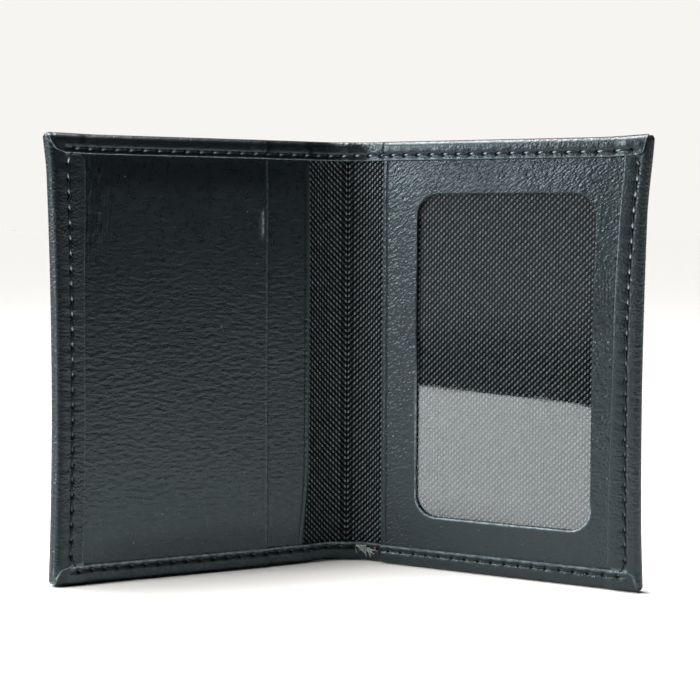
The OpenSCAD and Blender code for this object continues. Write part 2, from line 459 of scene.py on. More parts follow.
def cover_half(side, material):
    """Half of the outer leather, with its turned hems."""
    profile = hem_profile()
    xs = along_row(ROWS, PITCH_X, 0.0, HALF)
    zs = along_row(COLS + 2, PITCH_Z, 0.0, HEIGHT)
    zs = np.unique(np.concatenate([zs[zs < HEIGHT / 2], HEIGHT - zs[zs < HEIGHT / 2]]))
    low = long_columns(xs, side, profile)
    up = side_columns(zs, side, profile)
    up[0], up[-1] = low[-1], upside_down(low)[-1]
    high = upside_down(low)
    for part in (low, up, high):
        bow(part, side)
    shape = Shape()
    shape.grid(np.concatenate([low, up[1:-1], high[::-1]]), flip=True)
    outer = patch(shape, low[:, 0], up[:, 0], high[:, 0], flip=False)
    inner = patch(shape, low[:, -1], up[:, -1], high[:, -1], flip=True)
    shape.join(outer, inner, flip=True)
    shape.add(low[0], [list(range(len(profile)))])
    shape.add(high[0], [list(range(len(profile)))[::-1]])
    flap_ends(shape, side, profile)
    name = "cover_right_half" if side > 0 else "cover_left_half"
    marks = {"wear_and_painted_light": lambda p: cover_wear_and_painted_light(p, side), "dyed": lambda p: top_line(p, side)}
    obj = shape.build(name, side, material, marks)
    follow(obj)
    node = "cover_right" if side > 0 else "cover_left"
    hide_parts(node, "cover_spine")


def flap_end(long_in, side, top):
    """Where a long hem's end is cut, at a distance in from the long edge."""
    gap = np.where(top, {-1: 0.15, 1: 0.9}[side], {-1: 0.25, 1: -0.05}[side])
    return HALF - gap - 0.46 * long_in - 1.6 * smooth((long_in - 3.3) / 1.3) ** 2


def cover_wear_and_painted_light(p, side):
    """Positive where the leather is painted paler: its raw edges, partly their own colour and partly a
    painted highlight, and a painted sheen low on the left hem; negative where shade is painted by
    taking the shine away, in the needle holes and over the left roll.
    """
    x, z = straight(p, side)
    inside, long_in, top = p[:, 1] < -0.3, np.minimum(z, HEIGHT - z), z > HEIGHT / 2
    # Pale raw edges of the hems and flap ends: partly the cut edge's own colour, partly a painted
    # highlight, set stronger or weaker by side and height to follow the light.
    width = np.where(top, 0.16, 0.42)
    pale_edges_and_sheen = band(long_in - HEM_LONG, width) * (x < flap_end(HEM_LONG, side, top))
    pale_edges_and_sheen += band(x - flap_end(long_in, side, top), 0.2) * (long_in < HEM_LONG + 0.1)
    pale_edges_and_sheen *= 1.0 if side < 0 else 0.6 + 0.1 * smooth((z - 20) / 50)
    from_side = HALF - x
    upright = 0.3 if side < 0 else 0.15 + 0.75 * smooth((z - 40) / 40)
    pale_edges_and_sheen += upright * band(from_side - HEM_SIDE - hem_lean(z, side), 0.2) * (long_in > HEM_LONG)
    # A faint pale line along the turned side edge.
    roll = 0.05 * band(from_side - 0.5, 0.5)
    if side < 0:
        # A painted sheen, reflected light, on the left panel's low hem.
        low_hem_painted_sheen = smooth((HEM_LONG + 0.3 - z) / 0.5) * smooth(x / 10)
        pale_edges_and_sheen += 0.13 * low_hem_painted_sheen
        # On the left: a pale line at the very edge, and painted shade over the roll that takes its
        # shine away.
        roll = 0.5 * band(from_side - 0.7, 0.3) - 0.4 * band(from_side - 1.3, 1.5)
    # Painted shade in the needle holes, by taking the shine away there.
    shade = 1.3 * holes(x, z, 0.5) * (p[:, 1] < -0.2)
    return np.where(inside, pale_edges_and_sheen, 0) + np.where(p[:, 1] < 0.6, roll, 0) - shade


def top_line(p, side):
    """The dye shows reddish in a hairline along the front of the top edge, more on the right."""
    z = straight(p, side)[1]
    front = smooth(-p[:, 1] / 0.3)
    return smooth((z - HEIGHT + 0.24) / 0.16) * front * {-1: 0.25, 1: 1.0}[side]


def flap_ends(shape, side, profile):
    """The ends of the long hems, cut on a slant and laid over the side hems."""
    crest = math.pi / 2 + 0.1
    first = next(j for j, row in enumerate(profile) if row[2] == "roll" and row[3] > crest)
    last = next(j for j, row in enumerate(profile) if row[2] == "lip")
    start = HALF - FLAP_LENGTH
    u = np.linspace(0, 1, 46)

    def surface(on_top, turn_over):
        """The ends' upper or lower face, at the bottom edge or for the top one."""
        p = np.zeros((len(u), last - first + 1, 3))
        for j in range(first, last + 1):
            long_in, _, kind, turn = profile[j]
            x = start + (flap_end(long_in, side, turn_over) - start) * u
            along, round_in = corner(HALF - x)
            fade = max(0.0, 1 - long_in / 4)
            z = long_in + round_in * fade
            lift = (0.03 + FLAP_RISE * smooth((x - start - 1.3) / 2.4)) if on_top else -0.06
            d = hem_depth(x, z, stack_at(x, side) + lift, "hem" if kind == "lip" else kind, turn)
            if kind == "lip" and on_top:
                d = d + 0.12    # the raw edge is pressed down
            p[:, j - first] = np.stack([x + along * fade, d, z], 1)
        return p

    for turn_over in (False, True):
        top, bottom = surface(True, turn_over), surface(False, turn_over)
        if turn_over:
            top, bottom = upside_down(top)[:, ::-1], upside_down(bottom)[:, ::-1]
        bow(top, side)
        bow(bottom, side)
        sheet_solid(shape, top[:, ::-1], bottom[:, ::-1])


# ---- lining, pockets and window ----

# Lining, pockets and film run out under the hems to EDGE from the outline, and stop a little short
# of that at the side.
EDGE = 1.0
LINING_SHORT, POCKET_SHORT, FRAME_SHORT = 0.8, 1.7, 1.2
UNEVEN = 0.10                   # how much the pockets' surfaces wander
LINE_FROM_MOUTH = 1.2           # a line pressed beside each mouth
PRESSED_LINE, FAINT_LINE = 0.13, 0.03   # its depth
MOUTH_STEPS = (0, 0.04, 0.1, 0.22, 0.5, 0.85, 1.02, 1.12, 1.2, 1.28, 1.38, 1.55, 2.0, 2.8)


def spaced(start, end, step, extra=()):
    """Places from start to end about step apart, and the extra ones."""
    n = max(1, round((end - start) / step))
    return np.unique(np.round(np.concatenate([np.linspace(start, end, n + 1), list(extra)]), 3))


def mesh_grid(xs, zs):
    return np.meshgrid(xs, zs, indexing="ij")


def lining_depth(x, z):
    """The cloth sinks towards the middle of the spine, where it is creased."""
    valley = 0.38 * (1 - smooth((x - 1.0) / 6.5))
    crease = 0.30 * band(x, 0.75)
    return valley + crease + 0.03 * wave(x * 2, z * 2, 4.0)


def lining_half(side, material):
    """Half of the woven cloth, from the crease to under the side hem."""
    by_crease = (0.15, 0.35, 0.7, 1.1, 2, 3.6, 5, 6.6, 8, 10)
    xs = spaced(0, HALF - EDGE - LINING_SHORT, 1.5, by_crease)
    zs = spaced(EDGE, HEIGHT - EDGE, 1.6)
    x, z = mesh_grid(xs, zs)
    d = lining_depth(x, z)
    shape = Shape()
    back = np.minimum(d + LINING_T, BACK - COVER_T)
    sheet_solid(shape, bow(np.stack([x, d, z], 2), side), bow(np.stack([x, back, z], 2), side))
    obj = shape.build("lining_right_half" if side > 0 else "lining_left_half", side, material)
    follow(obj)
    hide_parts("lining_right" if side > 0 else "lining_left", "lining_spine")


def lifted(x, z, lift):
    """How far a pocket stands off the layer below it, inside its stitched border."""
    up = smooth((z - HEM_LONG + 0.5) / 8) * smooth((HEIGHT - HEM_LONG + 0.5 - z) / 8)
    return lift * up * smooth((HALF - HEM_SIDE + 0.5 - x) / 9)


def leather_top(x, z, mouth, base, lift, seed, line_depth):
    """Front face of a pocket: its rounded raw edge and the line pressed beside it."""
    from_mouth = x - mouth
    edge_round = 0.16 * np.clip(1 - from_mouth / 0.22, 0, 1) ** 2
    edge_round = edge_round + 0.10 * np.clip(1 - from_mouth, 0, 1) ** 2
    line = line_depth * band(from_mouth - LINE_FROM_MOUTH, 0.16)
    unevenness = lifted(x, z, UNEVEN) * wave(x, z, seed)
    return -(base + POCKET_T + lifted(x, z, lift) + unevenness) + edge_round + line


def leather_under(x, z, base, lift, seed):
    """Back face of a pocket, just clear of the layer below."""
    return -(base + lifted(x, z, lift) + lifted(x, z, UNEVEN) * wave(x, z, seed)) - 0.01


def rear_lean(z):
    """The rear pocket's mouth draws back from the fold near the bottom."""
    return 1.3 * smooth((24 - z) / 22) - 0.25 * np.sin(np.pi * z / HEIGHT)


def front_lean(z):
    """The front pocket's mouth runs nearly straight, half a millimetre nearer the fold."""
    return 0.15 * np.sin(np.pi * z / HEIGHT) - 0.5


def card_pocket(name, node, mouth, base, lift, seed, lean, material):
    """A pocket's leather, from its mouth to under the side hem. base: what it lies on."""
    rest = spaced(mouth + 4, HALF - EDGE - POCKET_SHORT, 2.0)
    xs = np.concatenate([mouth + np.array(MOUTH_STEPS), rest])
    zs = spaced(EDGE, HEIGHT - EDGE, 1.5)
    x, z = mesh_grid(xs, zs)
    top = leather_top(x, z, mouth, base, lift, seed, PRESSED_LINE if base == 0 else FAINT_LINE)
    under = leather_under(x, z, base, lift, seed)
    x = x + lean(z) * smooth((mouth + 14 - x) / 14)
    bent = bow(np.stack([x, top, z], 2), -1)
    below = bow(np.stack([x, under, z], 2), -1)
    shape = Shape()
    sheet_solid(shape, bent, below)
    obj = shape.build(name, -1, material, {"wear_and_painted_light": lambda p: pocket_wear(p, mouth, base > 0)})
    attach(obj, "left_panel")
    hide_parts(node)


def pocket_wear(p, mouth, scuffed):
    """The mouth's edge is a little pale, and the front pocket has a scuff beside it."""
    wear_and_painted_light = 0.18 * band(p[:, 0] - mouth, 0.3)
    if scuffed:
        scuff_z, half_length = 82, 3.6
        ends = smooth((half_length - np.abs(p[:, 2] - scuff_z)) / 1.5)
        wear_and_painted_light = wear_and_painted_light + 0.9 * band(p[:, 0] - mouth - LINE_FROM_MOUTH, 0.3) * ends
    return wear_and_painted_light


def window_loop(n_side, n_end):
    """The window's outline, from the middle of its low near corner, up the mouth's side and round."""
    x0, x1 = MOUTH["frame"] + WINDOW_FROM_MOUTH, HALF - HEM_SIDE - WINDOW_FROM_HEM
    z0, z1 = HEM_LONG + WINDOW_FROM_LONG, HEIGHT - HEM_LONG - WINDOW_FROM_LONG
    r = WINDOW_R

    def stretch(a, b, centre_a, centre_b, turn_a, turn_b, n):
        """Half a corner, a straight side and half a corner."""
        arc = r * math.pi / 4
        length = math.dist(a, b)
        total = length + 2 * arc
        out = []
        for s in np.linspace(0, total, n + 1)[:-1]:
            if s < arc:
                t = turn_a + (s / arc) * math.pi / 4 * turn_b
                out.append((centre_a[0] + r * math.cos(t), centre_a[1] + r * math.sin(t)))
            elif s > arc + length:
                t = turn_a + math.pi / 4 * turn_b * (1 + (s - arc - length) / arc)
                out.append((centre_b[0] + r * math.cos(t), centre_b[1] + r * math.sin(t)))
            else:
                f = (s - arc) / length
                out.append((a[0] + (b[0] - a[0]) * f, a[1] + (b[1] - a[1]) * f))
        return out

    c = ((x0 + r, z0 + r), (x0 + r, z1 - r), (x1 - r, z1 - r), (x1 - r, z0 + r))
    q = math.pi / 4
    loop = stretch((x0, z0 + r), (x0, z1 - r), c[0], c[1], 5 * q, -1, n_side)
    loop += stretch((x0 + r, z1), (x1 - r, z1), c[1], c[2], 3 * q, -1, n_end)
    loop += stretch((x1, z1 - r), (x1, z0 + r), c[2], c[3], q, -1, n_side)
    loop += stretch((x1 - r, z0), (x0 + r, z0), c[3], c[0], -q, -1, n_end)
    return np.array(loop)


def frame_ring(outer, hole):
    """(layers, points, 2) from the window's edge out to the rectangle."""
    lengths = np.linalg.norm(outer - hole, axis=1)
    near = (0, 0.05, 0.12, 0.25, 0.5, 0.9)
    layers = [hole + (outer - hole) * (d / lengths)[:, None] for d in near]
    for t in np.linspace(0, 1, 6)[1:]:
        layers.append(layers[5] + (outer - layers[5]) * t)
    return np.array(layers)


def id_frame(material):
    """The leather with the window in it: a strip along the mouth, and a ring round the window."""
    mouth = MOUTH["frame"]
    zs = spaced(EDGE, HEIGHT - EDGE, 1.5)
    ends = spaced(mouth + MOUTH_STEPS[-1], HALF - EDGE - FRAME_SHORT, 2.0)
    n_side, n_end = len(zs) - 1, len(ends) - 1
    hole = window_loop(n_side, n_end)
    x0, x1 = ends[0], ends[-1]
    outer = [(x0, z) for z in zs[:-1]] + [(x, zs[-1]) for x in ends[:-1]]
    outer += [(x1, z) for z in zs[:0:-1]] + [(x, zs[0]) for x in ends[:0:-1]]
    ring = frame_ring(np.array(outer), hole)
    ring = np.concatenate([ring, ring[:, :1]], 1)
    base, lift, seed = FILM_T, 0.35, 2.0

    def surfaces(x, z, from_window=None):
        top = leather_top(x, z, mouth, base, lift, seed, PRESSED_LINE)
        if from_window is not None:
            top = top + 0.16 * np.clip(1 - from_window / 0.2, 0, 1) ** 2
        under = leather_under(x, z, base, lift, seed)
        return bow(np.stack([x, top, z], -1), 1), bow(np.stack([x, under, z], -1), 1)

    shape = Shape()
    x, z = mesh_grid(mouth + np.array(MOUTH_STEPS), zs)
    top, under = surfaces(x, z)
    shape.grid(top)
    shape.grid(under, flip=True)
    shape.join(top[0], under[0], flip=True)
    shape.join(top[:, 0], under[:, 0])
    shape.join(top[:, -1], under[:, -1], flip=True)
    from_window = np.linalg.norm(ring - ring[:1], axis=2)
    top, under = surfaces(ring[..., 0], ring[..., 1], from_window)
    shape.grid(top, flip=True)
    shape.grid(under)
    shape.join(top[0], under[0])
    shape.join(top[-1][n_side:], under[-1][n_side:], flip=True)
    obj = shape.build("id_frame_leather", 1, material, {"wear_and_painted_light": lambda p: frame_edge_wear_and_painted_light(p, hole)})
    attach(obj, "right_panel")
    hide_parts("id_window_frame")


def frame_edge_wear_and_painted_light(points, hole):
    """Painted light on the window's cut edge: a painted highlight along the bottom and low on the
    fold's side, and painted shade elsewhere. The mouth's edge is a little pale.
    """
    gaps = np.linalg.norm(points[:, None, ::2] - hole[None], axis=2)
    near = band(gaps.min(axis=1), 0.26)
    mouth_edge = 0.35 * band(points[:, 0] - MOUTH["frame"], 0.2)
    low = smooth((62 - points[:, 2]) / 30)
    fold_side = smooth((HALF - 18 - points[:, 0]) / 6)
    low = low * np.maximum(fold_side, smooth((HEM_LONG + WINDOW_FROM_LONG + 8 - points[:, 2]) / 4))
    # Painted highlight low on the window's edge, painted shade on the rest of it.
    return near * (1.15 * low - 0.25 * (1 - low)) + mouth_edge


def id_film(material):
    """The clear film behind the window, over the whole pocket."""
    xs = spaced(MOUTH["frame"] + 0.5, HALF - EDGE - POCKET_SHORT, 2.0)
    zs = spaced(EDGE + 0.3, HEIGHT - EDGE - 0.3, 2.0)
    x, z = mesh_grid(xs, zs)
    back = -lifted(x, z, 0.12) - 0.02
    shape = Shape()
    bent = bow(np.stack([x, back - FILM_T + 0.04, z], 2), 1)
    sheet_solid(shape, bent, bow(np.stack([x, back, z], 2), 1))
    obj = shape.build("id_film_sheet", 1, material)
    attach(obj, "right_panel")
    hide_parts("id_window_film")


def board_sheet(side, material):
    """The stiffening board inside a panel, bent in with its side edge."""
    node = "board_right" if side > 0 else "board_left"
    corners = flat_points(node, side)
    (x0, d0, z0), (x1, d1, z1) = corners.min(axis=0) + 0.02, corners.max(axis=0) - 0.02
    x, z = mesh_grid(spaced(x0, x1, 3.0), spaced(z0, z1, 3.0))
    shape = Shape()
    front = bow(np.stack([x, np.full_like(x, d0), z], 2), side)
    sheet_solid(shape, front, bow(np.stack([x, np.full_like(x, d1), z], 2), side))
    obj = shape.build(f"{node}_sheet", side, material)
    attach(obj, "right_panel" if side > 0 else "left_panel")
    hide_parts(node)


# ---- thread ----

def tube(shape, path, radius, sides=8):
    """A closed tube along points in flat coordinates."""
    path = np.asarray(path, float)
    ahead = np.gradient(path, axis=0)
    ahead /= np.linalg.norm(ahead, axis=1)[:, None]
    up = np.array([0.0, 1.0, 0.0])
    across = np.cross(ahead, up)
    across /= np.linalg.norm(across, axis=1)[:, None] + 1e-9
    over = np.cross(across, ahead)
    turn = np.linspace(0, 2 * math.pi, sides + 1)
    ring = across[:, None] * np.cos(turn)[None, :, None] + over[:, None] * np.sin(turn)[None, :, None]
    skin = path[:, None] + ring * radius
    skin[:, -1] = skin[:, 0]
    shape.grid(skin)
    shape.add(skin[0, :-1], [list(range(sides))])
    shape.add(skin[-1, :-1], [list(range(sides))[::-1]])


def stitch_path(a, b, across, face_at, out):
    """One stitch from hole a to hole b in (x, z); it arches towards across and slants a little.
    face_at: depth of the leather; out: -1 where the stitch lies on the inside."""
    s = np.linspace(0, 1, 11)
    lean = 0.30 * (1 - np.abs(2 * s - 1) ** 1.6) - 0.12 + 0.14 * (1 - 2 * s)
    x = a[0] + (b[0] - a[0]) * s + across[0] * lean
    z = a[1] + (b[1] - a[1]) * s + across[1] * lean
    sunk = 0.46 - 0.44 * np.sin(np.pi * s) ** 0.45
    return np.stack([x, face_at(x, z) + out * -sunk, z], 1)


def thread_painted_glint(p, side):
    """A painted highlight on the thread where it comes up beside a hole, most along the upper edges; it
    is taken down in the hole itself.
    """
    x, z = straight(p, side)
    shine = 0.2 + 0.9 * smooth((z - 30) / 40) if side < 0 else 0.12 + 0.6 * smooth((z - 45) / 40)
    return shine * (1.2 * holes(x - 0.3 * side, z - 0.4, 0.5) - holes(x, z, 0.3))


def thread_half(side, inside, material):
    """The stitches of one half, on the inside (needle thread) or the outside (bobbin thread)."""
    def face_at(x, z):
        if not inside:
            return np.full_like(x, BACK)
        over = smooth((x - HALF + 9.2) / 2.4) * FLAP_RISE
        on_long = (z < HEM_LONG) | (z > HEIGHT - HEM_LONG)
        return -(stack_at(x, side) + HEM_T) - np.where(on_long, over, 0)

    out = -1 if inside else 1
    shape = Shape()
    corners = [0.0, *HOLES_X]
    for z, up in ((STITCH_LONG, (0, -1)), (HEIGHT - STITCH_LONG, (0, 1))):
        for a, b in zip(corners, corners[1:]):
            path = stitch_path((a, z), (b, z), up, face_at, out)
            if a == 0.0:        # half of the stitch across the middle of the spine
                path = stitch_path((-HOLES_X[0], z), (b, z), up, face_at, out)[5:]
            tube(shape, bow(path, side), THREAD_D / 2)
    up_side = [(LAST_X, z) for z in HOLES_Z[1:-1]]
    ends = [(HOLES_X[-1], STITCH_LONG), *up_side, (HOLES_X[-1], HEIGHT - STITCH_LONG)]
    for a, b in zip(ends, ends[1:]):
        tube(shape, bow(stitch_path(a, b, (1, 0), face_at, out), side), THREAD_D / 2)
    which = "needle" if inside else "bobbin"
    panel = "right" if side > 0 else "left"
    marks = {"wear_and_painted_light": lambda p: thread_painted_glint(p, side)}
    obj = shape.build(f"{which}_stitches_{panel}", side, material, marks)
    follow(obj)
    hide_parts(f"{which}_thread_{panel}", f"{which}_thread_spine")


def tuft(material):
    """Frayed ends of the thread, on the bottom hem beside the middle of the spine."""
    rng = np.random.default_rng(7)
    shape = Shape()
    for _ in range(64):
        along = rng.uniform(0, 1)
        x, z = 2.3 + 4.2 * along, STITCH_LONG + 0.2 - 1.0 * along + rng.uniform(-0.5, 0.6)
        lean, length = rng.normal(-0.45, 0.4), rng.uniform(0.7, 1.9)
        curl, rise = rng.uniform(-0.5, 0.5), rng.uniform(0.2, 0.75)
        s = np.linspace(0, 1, 7)
        px = x + length * math.cos(lean) * s + curl * s * s * 0.4
        pz = z + length * math.sin(lean) * s + curl * s * s * 0.5
        pd = -(HEM_T + 0.02) - rise * np.sin(np.pi * s * 0.75)
        tube(shape, np.stack([px, pd, pz], 1), rng.uniform(0.035, 0.065), sides=5)
    s = np.linspace(0, 1, 5)
    stub = np.stack([7.8 + 0.5 * s, -(HEM_T + 0.3) - 0.2 * s, STITCH_LONG + 0.1 + 0.25 * s], 1)
    tube(shape, stub, 0.16, sides=7)
    red_end = {"dyed": lambda p: (p[:, 0] > 7.75) & (p[:, 2] > STITCH_LONG - 0.2)}
    obj = shape.build("thread_tuft", 1, material, red_end)
    follow(obj)
    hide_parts("thread_tails")


# ---- materials ----

class Paint:
    """A procedural material drawn over the flat wallet, in millimetres."""

    def __init__(self, name, colour, rough, **constants):
        self.material = bpy.data.materials.new(name)
        self.material.use_nodes = True
        self.tree = self.material.node_tree
        self.shader = self.tree.nodes["Principled BSDF"]
        self.shader.inputs["Base Color"].default_value = (*colour, 1)
        self.shader.inputs["Roughness"].default_value = rough
        for socket, value in constants.items():
            self.shader.inputs[socket.replace("_", " ")].default_value = value
        self.flat = self.node("Attribute", attribute_name="flat").outputs["Vector"]

    def node(self, kind, **settings):
        node = self.tree.nodes.new("ShaderNode" + kind)
        for key, value in settings.items():
            setattr(node, key, value)
        return node

    def give(self, socket, value):
        if isinstance(value, bpy.types.NodeSocket):
            self.tree.links.new(value, socket)
        else:
            socket.default_value = value

    def math(self, operation, *values):
        node = self.node("Math", operation=operation)
        for socket, value in zip(node.inputs, values):
            self.give(socket, value)
        return node.outputs[0]

    def times(self, a, b):
        return self.math("MULTIPLY", a, b)

    def mark(self, name):
        """The amount stored on the mesh under this name."""
        return self.node("Attribute", attribute_name=name).outputs["Fac"]

    def along(self, axis):
        """x for axis 0, z for axis 1."""
        node = self.node("SeparateXYZ")
        self.give(node.inputs[0], self.flat)
        return node.outputs[axis]

    def scaled(self, size, stretch, turn=0.0):
        turned = self.node("VectorRotate", rotation_type="Z_AXIS")
        self.give(turned.inputs["Vector"], self.flat)
        turned.inputs["Angle"].default_value = turn
        node = self.node("VectorMath", operation="MULTIPLY")
        self.give(node.inputs[0], turned.outputs[0])
        node.inputs[1].default_value = [k / size for k in stretch]
        return node.outputs[0]

    def noise(self, size, detail=2, stretch=(1, 1, 1), turn=0.0):
        """Cloudy noise, 0 to 1, with features about size mm across."""
        node = self.node("TexNoise")
        self.give(node.inputs["Vector"], self.scaled(size, stretch, turn))
        node.inputs["Scale"].default_value = 1
        node.inputs["Detail"].default_value = detail
        return node.outputs[0]

    def cells(self, size):
        """Distance from the nearest of scattered points, about size mm apart."""
        node = self.node("TexVoronoi")
        self.give(node.inputs["Vector"], self.scaled(size, (1, 1, 1)))
        node.inputs["Scale"].default_value = 1
        return node.outputs["Distance"]

    def ramp(self, value, low, high, to_low=0.0, to_high=1.0):
        node = self.node("MapRange", interpolation_type="SMOOTHSTEP")
        for socket, given in zip(node.inputs, (value, low, high, to_low, to_high)):
            self.give(socket, given)
        return node.outputs[0]

    def mix(self, share, a, b):
        node = self.node("Mix", data_type="RGBA")
        self.give(node.inputs[0], share)
        self.give(node.inputs[6], (*a, 1) if isinstance(a, tuple) else a)
        self.give(node.inputs[7], (*b, 1) if isinstance(b, tuple) else b)
        return node.outputs[2]

    def bump(self, height):
        """height in mm."""
        node = self.node("Bump")
        node.inputs["Strength"].default_value = 1
        node.inputs["Distance"].default_value = MM
        self.give(node.inputs["Height"], height)
        self.give(self.shader.inputs["Normal"], node.outputs[0])

    def colour(self, value):
        self.give(self.shader.inputs["Base Color"], value)

    def rough(self, value):
        self.give(self.shader.inputs["Roughness"], value)

    def shine(self, value):
        self.give(self.shader.inputs["Specular IOR Level"], value)


def leather(name, pebble, wrinkle, low_rough, high_rough, detail):
    """Black leather. pebble, wrinkle: depth of its round grain and its ripples, mm; detail: more."""
    p = Paint(name, (0.012, 0.015, 0.017), 0.4, Specular_Tint=(0.74, 0.94, 1, 1))
    patches = p.noise(13, 3)
    grain = p.times(p.cells(0.62), p.ramp(patches, 0.35, 0.65, 0.4 * pebble, 1.5 * pebble))
    ripples = p.noise(0.9, 3, (0.42, 1, 1))
    ripples = p.times(ripples, p.ramp(p.along(1), 88, 50, 0.25 * wrinkle, wrinkle))
    ripples = p.times(ripples, p.ramp(p.along(1), 5, 30, 0.5, 1))
    height = p.math("SUBTRACT", p.times(p.noise(0.36, 3), 0.035), grain)
    height = p.math("ADD", height, ripples)
    p.bump(p.math("ADD", height, detail(p)))
    wear_and_painted_light = p.mark("wear_and_painted_light")
    # Where the mark is negative the shine is taken away: painted shade in the needle holes and over the
    # left roll.
    p.shine(p.ramp(wear_and_painted_light, -0.7, -0.1, 0.0, 0.5))
    # Where it is positive the leather is painted pale blue-grey: raw edges, partly their own colour and
    # partly a painted highlight, and painted sheen.
    pale_wear_and_painted_light = p.times(p.math("MAXIMUM", wear_and_painted_light, 0.0), p.ramp(p.noise(0.8, 3), 0.35, 0.7, 0.35, 1))
    tone = p.mix(patches, (0.0055, 0.0075, 0.0095), (0.011, 0.014, 0.016))
    tone = p.mix(pale_wear_and_painted_light, tone, (0.30, 0.38, 0.42))
    tone = p.mix(p.mark("dyed"), tone, (0.09, 0.010, 0.016))
    dust = p.math("LESS_THAN", p.cells(5.5), 0.022)
    p.colour(p.mix(dust, tone, (0.30, 0.32, 0.31)))
    p.rough(p.ramp(p.noise(1.3, 3), 0.3, 0.7, low_rough, high_rough))
    return p.material


def side_creases(p):
    """A few long creases up the front pocket beside the side hem, near the top."""
    near_hem = p.times(p.ramp(p.along(0), -57, -63), p.ramp(p.along(1), 62, 88))
    ridges = p.math("ABSOLUTE", p.math("SUBTRACT", p.noise(1.6, 2, (1, 0.12, 1)), 0.5))
    return p.times(p.times(p.ramp(ridges, 0, 0.12, 1, 0), near_hem), 0.13)


def edge_beads(p):
    """Small wrinkles across the left panel's turned side edge."""
    beads = p.noise(0.55, 1, (0.25, 1, 0.25))
    return p.times(beads, p.ramp(p.along(0), -72.4, -73.2, 0, 0.22))


def slanting_grain(p):
    """Short ridges that run up to the right, strongest near the top and beside the mouth."""
    ridges = p.noise(0.95, 2, (0.62, 1.7, 1), turn=-0.65)
    x = p.along(0)
    top = p.ramp(p.along(1), 50, 92, 0.12, 0.46)
    top = p.times(top, p.ramp(x, 64, 36, 0.45, 1))
    top = p.times(top, p.ramp(x, 12, 28, 0.5, 1))
    strong = p.math("MAXIMUM", top, p.ramp(x, 19, 10, 0.12, 0.22))
    return p.times(ridges, strong)


def woven_cloth():
    """Plain weave: floats of warp and weft in turn, with dark gaps between them."""
    yarn = 0.71
    p = Paint("lining_cloth", (0.02, 0.022, 0.024), 0.5, Specular_Tint=(0.8, 0.95, 1, 1))
    from_crease = p.math("ABSOLUTE", p.along(0))
    u = p.math("DIVIDE", from_crease, yarn)
    v = p.math("DIVIDE", p.math("ADD", p.along(1), p.times(p.along(0), 0.045)), yarn)
    odd = p.math("PINGPONG", p.math("ADD", p.math("FLOOR", u), p.math("FLOOR", v)), 1.0)
    across = p.math("SUBTRACT", p.math("FRACT", u), 0.5)
    up = p.math("SUBTRACT", p.math("FRACT", v), 0.5)
    along_float = p.math("ADD", up, p.times(across, 0.55))
    over_float = p.math("SUBTRACT", across, p.times(up, 0.45))

    def crown(narrow, long, reach):
        """1 on the crown of a crossing yarn, 0 in the gap beside it."""
        body = p.ramp(p.math("ABSOLUTE", narrow), 0.12, 0.45, 1, 0)
        return p.times(body, p.ramp(p.math("ABSOLUTE", long), 0.42, reach, 1, 0.0))

    warp = p.times(crown(over_float, along_float, 0.85), odd)
    weft = p.times(crown(up, across, 0.62), p.math("SUBTRACT", 1.0, odd))
    fibres = p.times(p.noise(0.16, 2), 0.3)
    height = p.math("ADD", p.math("ADD", warp, p.times(weft, 0.35)), fibres)
    p.bump(p.times(height, 0.18))
    uneven = p.ramp(p.noise(1.6, 3), 0.3, 0.7, 0.6, 1.0)
    share = p.times(p.math("ADD", warp, p.times(weft, 0.08)), uneven)
    # Painted shade: the crowns are dimmed at the crease and in a line beside it.
    share = p.times(share, p.ramp(from_crease, 0.0, 0.3, 0.1, 1))
    beside_crease = p.math("ABSOLUTE", p.math("SUBTRACT", from_crease, 1.1))
    share = p.times(share, p.ramp(beside_crease, 0.05, 0.3, 0.2, 1))
    p.shine(p.times(share, 0.65))
    # The crowns are painted pale blue-grey on black, a painted highlight.
    p.colour(p.mix(share, (0.0006, 0.0008, 0.001), (0.15, 0.173, 0.185)))
    return p.material


def sewing_thread():
    p = Paint("thread", (0.02, 0.024, 0.027), 0.36, Specular_Tint=(0.8, 0.95, 1, 1))
    strands = p.noise(0.22, 2)
    painted_glint = p.mark("wear_and_painted_light")
    dark = p.mix(strands, (0.004, 0.005, 0.0055), (0.022, 0.027, 0.029))
    p.shine(p.ramp(painted_glint, 0, 0.3, 0.15, 0.6))
    # The thread is painted pale where the mark is: a painted highlight.
    p.colour(p.mix(painted_glint, dark, (0.66, 0.76, 0.80)))
    p.bump(p.times(strands, 0.08))
    return p.material


def frayed_fibre():
    p = Paint("thread_end", (0.4, 0.42, 0.4), 0.8)
    pale = p.mix(p.noise(0.5, 2), (0.22, 0.26, 0.24), (0.62, 0.68, 0.64))
    p.colour(p.mix(p.mark("dyed"), pale, (0.45, 0.05, 0.06)))
    return p.material


def clear_film():
    p = Paint("clear_film", (0.86, 0.92, 0.95), 0.03, Metallic=1.0, Alpha=0.07)
    p.rough(p.ramp(p.noise(9, 4), 0.45, 0.75, 0.02, 0.05))
    return p.material


def cardboard():
    p = Paint("cardboard", (0.36, 0.28, 0.18), 0.9)
    fibres = p.noise(0.8, 4, (1, 0.3, 1))
    p.colour(p.mix(fibres, (0.27, 0.21, 0.14), (0.42, 0.34, 0.24)))
    p.bump(p.times(fibres, 0.05))
    return p.material


COVER_LEATHER = leather("cover_leather", 0.06, 0.18, 0.32, 0.44, edge_beads)
POCKET_LEATHER = leather("pocket_leather", 0.016, 0.145, 0.26, 0.33, side_creases)
FRAME_LEATHER = leather("frame_leather", 0.07, 0.14, 0.28, 0.38, slanting_grain)
CLOTH = woven_cloth()
THREAD = sewing_thread()

# ---- the wallet ----

